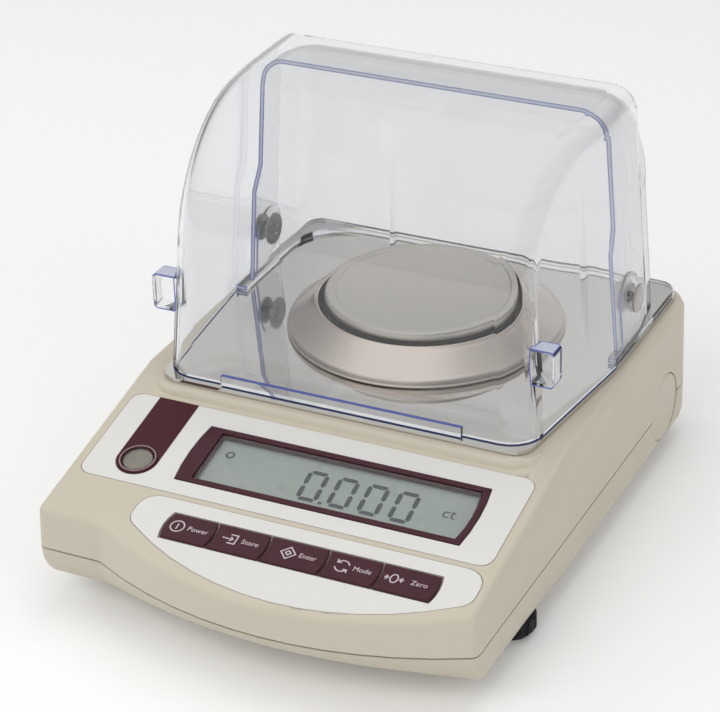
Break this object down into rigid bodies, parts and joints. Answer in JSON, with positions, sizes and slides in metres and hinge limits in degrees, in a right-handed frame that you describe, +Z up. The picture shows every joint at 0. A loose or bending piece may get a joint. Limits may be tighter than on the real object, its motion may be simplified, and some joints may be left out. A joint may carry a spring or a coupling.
{
  "type": "jewellery scale",
  "caption": "Compact jewellery scale with a round weighing pan, a wind ring, a sloping front with display and keys, and a clear two-part hood whose front half tips up.",
  "frame": {"origin": "centre of the bounding box's underside, on the surface the feet stand on", "axes": "+X to the right when facing the display, +Y to the back, +Z up"},
  "size_m": [0.182, 0.252, 0.169],
  "materials": {
    "housing": "fine-grained warm beige moulding",
    "label_film": "satin off-white printed film",
    "maroon_plastic": "satin dark maroon",
    "black_plastic": "fine-grained black moulding",
    "foot_plastic": "fine-grained black moulding",
    "foot_rubber": "matt black rubber",
    "clear_plastic": "clear moulded plastic with a bluish edge",
    "window_plastic": "clear flat window",
    "level_plastic": "off-white moulding",
    "level_fluid": "pale yellow-grey spirit",
    "display_glass": "grey-green liquid crystal panel",
    "circuit_board": "green lacquered board",
    "plate_steel": "fine brushed stainless sheet",
    "pan_steel": "satin stainless sheet",
    "ring_metal": "satin spun stainless sheet",
    "pin_steel": "plain turned steel",
    "screw_steel": "zinc-plated steel",
    "fork_steel": "ground spring steel",
    "cast_aluminium": "machined and cast aluminium"
  },
  "bodies": {
    "base": {"upper_housing": "housing", "lower_housing": "housing", "side_cap": "housing", "housing_screw_front_left": "screw_steel", "housing_screw_front_right": "screw_steel", "housing_screw_rear_left": "screw_steel", "housing_screw_rear_right": "screw_steel", "weighing_plate": "plate_steel", "display_label": "label_film", "window_frame": "maroon_plastic", "display_window": "window_plastic", "lcd_panel": "display_glass", "lcd_holder": "black_plastic", "display_board": "circuit_board", "key_label": "label_film", "key_board": "circuit_board", "level_cup": "maroon_plastic", "level_fluid": "level_fluid", "level_lens": "clear_plastic", "chassis_plate": "cast_aluminium", "sensor_base": "cast_aluminium", "sensor_post": "cast_aluminium", "lower_guide": "cast_aluminium", "upper_guide": "cast_aluminium", "sensor_lever": "cast_aluminium", "vibrating_fork": "fork_steel", "overload_stop": "fork_steel", "main_board": "circuit_board", "power_inlet": "black_plastic", "serial_socket": "black_plastic"},
    "rear_windshield": {"rear_hood": "clear_plastic", "pivot_pin_left": "pin_steel", "push_nut_left": "pin_steel", "pivot_pin_right": "pin_steel", "push_nut_right": "pin_steel"},
    "front_windshield": {"front_hood": "clear_plastic"},
    "ring": {"wind_ring": "ring_metal"},
    "load_carrier": {"load_carrier": "cast_aluminium"},
    "pan_support": {"pan_support": "black_plastic"},
    "pan": {"weighing_pan": "pan_steel"},
    "power_key": {"key_power": "maroon_plastic"},
    "memory_key": {"key_memory": "maroon_plastic"},
    "set_key": {"key_set": "maroon_plastic"},
    "function_key": {"key_function": "maroon_plastic"},
    "zero_key": {"key_zero": "maroon_plastic"},
    "foot_pad_front_left": {"foot_pad_front_left": "foot_rubber"},
    "foot_dial_front_left": {"foot_dial_front_left": "foot_plastic"},
    "foot_pad_front_right": {"foot_pad_front_right": "foot_rubber"},
    "foot_dial_front_right": {"foot_dial_front_right": "foot_plastic"},
    "foot_pad_rear_left": {"foot_pad_rear_left": "foot_rubber"},
    "foot_dial_rear_left": {"foot_dial_rear_left": "foot_plastic"},
    "foot_pad_rear_right": {"foot_pad_rear_right": "foot_rubber"},
    "foot_dial_rear_right": {"foot_dial_rear_right": "foot_plastic"}
  },
  "joints": [
    {"name": "rear_windshield_lift_off", "type": "slide", "parent": "base", "child": "rear_windshield", "axis": [0, 0, 1], "range_m": [0, 0.1]},
    {"name": "front_windshield_hinge", "type": "hinge", "parent": "rear_windshield", "child": "front_windshield", "pos_m": [0, 0.0673, 0.0847], "axis": [-1, 0, 0], "range_deg": [0, 75]},
    {"name": "ring_lift_off", "type": "slide", "parent": "base", "child": "ring", "axis": [0, 0, 1], "range_m": [0, 0.05]},
    {"name": "load_carrier_travel", "type": "slide", "parent": "base", "child": "load_carrier", "axis": [0, 0, -1], "range_m": [0, 0.0002], "stiffness_N_per_m": 16000},
    {"name": "pan_support_lift_off", "type": "slide", "parent": "load_carrier", "child": "pan_support", "axis": [0, 0, 1], "range_m": [0, 0.02]},
    {"name": "pan_lift_off", "type": "slide", "parent": "pan_support", "child": "pan", "axis": [0, 0, 1], "range_m": [0, 0.03]},
    {"name": "power_key_press", "type": "slide", "parent": "base", "child": "power_key", "axis": [0, 0.213, -0.977], "range_m": [0, 0.0005], "stiffness_N_per_m": 400},
    {"name": "memory_key_press", "type": "slide", "parent": "base", "child": "memory_key", "axis": [0, 0.213, -0.977], "range_m": [0, 0.0005], "stiffness_N_per_m": 400},
    {"name": "set_key_press", "type": "slide", "parent": "base", "child": "set_key", "axis": [0, 0.213, -0.977], "range_m": [0, 0.0005], "stiffness_N_per_m": 400},
    {"name": "function_key_press", "type": "slide", "parent": "base", "child": "function_key", "axis": [0, 0.213, -0.977], "range_m": [0, 0.0005], "stiffness_N_per_m": 400},
    {"name": "zero_key_press", "type": "slide", "parent": "base", "child": "zero_key", "axis": [0, 0.213, -0.977], "range_m": [0, 0.0005], "stiffness_N_per_m": 400},
    {"name": "foot_height_front_left", "type": "slide", "parent": "base", "child": "foot_pad_front_left", "axis": [0, 0, -1], "range_m": [-0.0006, 0.0031]},
    {"name": "foot_dial_turn_front_left", "type": "hinge", "parent": "foot_pad_front_left", "child": "foot_dial_front_left", "pos_m": [-0.081, -0.051, 0.006], "axis": [0, 0, -1], "range_deg": [-180, 1080]},
    {"name": "foot_height_front_right", "type": "slide", "parent": "base", "child": "foot_pad_front_right", "axis": [0, 0, -1], "range_m": [-0.0006, 0.0031]},
    {"name": "foot_dial_turn_front_right", "type": "hinge", "parent": "foot_pad_front_right", "child": "foot_dial_front_right", "pos_m": [0.081, -0.051, 0.006], "axis": [0, 0, -1], "range_deg": [-180, 1080]},
    {"name": "foot_height_rear_left", "type": "slide", "parent": "base", "child": "foot_pad_rear_left", "axis": [0, 0, -1], "range_m": [-0.0006, 0.0031]},
    {"name": "foot_dial_turn_rear_left", "type": "hinge", "parent": "foot_pad_rear_left", "child": "foot_dial_rear_left", "pos_m": [-0.069, 0.098, 0.006], "axis": [0, 0, -1], "range_deg": [-180, 1080]},
    {"name": "foot_height_rear_right", "type": "slide", "parent": "base", "child": "foot_pad_rear_right", "axis": [0, 0, -1], "range_m": [-0.0006, 0.0031]},
    {"name": "foot_dial_turn_rear_right", "type": "hinge", "parent": "foot_pad_rear_right", "child": "foot_dial_rear_right", "pos_m": [0.069, 0.098, 0.006], "axis": [0, 0, -1], "range_deg": [-180, 1080]}
  ],
  "couplings": [
    {"joint": "foot_height_front_left", "follows": "foot_dial_turn_front_left", "m_per_rad": 0.00015915},
    {"joint": "foot_height_front_right", "follows": "foot_dial_turn_front_right", "m_per_rad": 0.00015915},
    {"joint": "foot_height_rear_left", "follows": "foot_dial_turn_rear_left", "m_per_rad": 0.00015915},
    {"joint": "foot_height_rear_right", "follows": "foot_dial_turn_rear_right", "m_per_rad": 0.00015915}
  ]
}
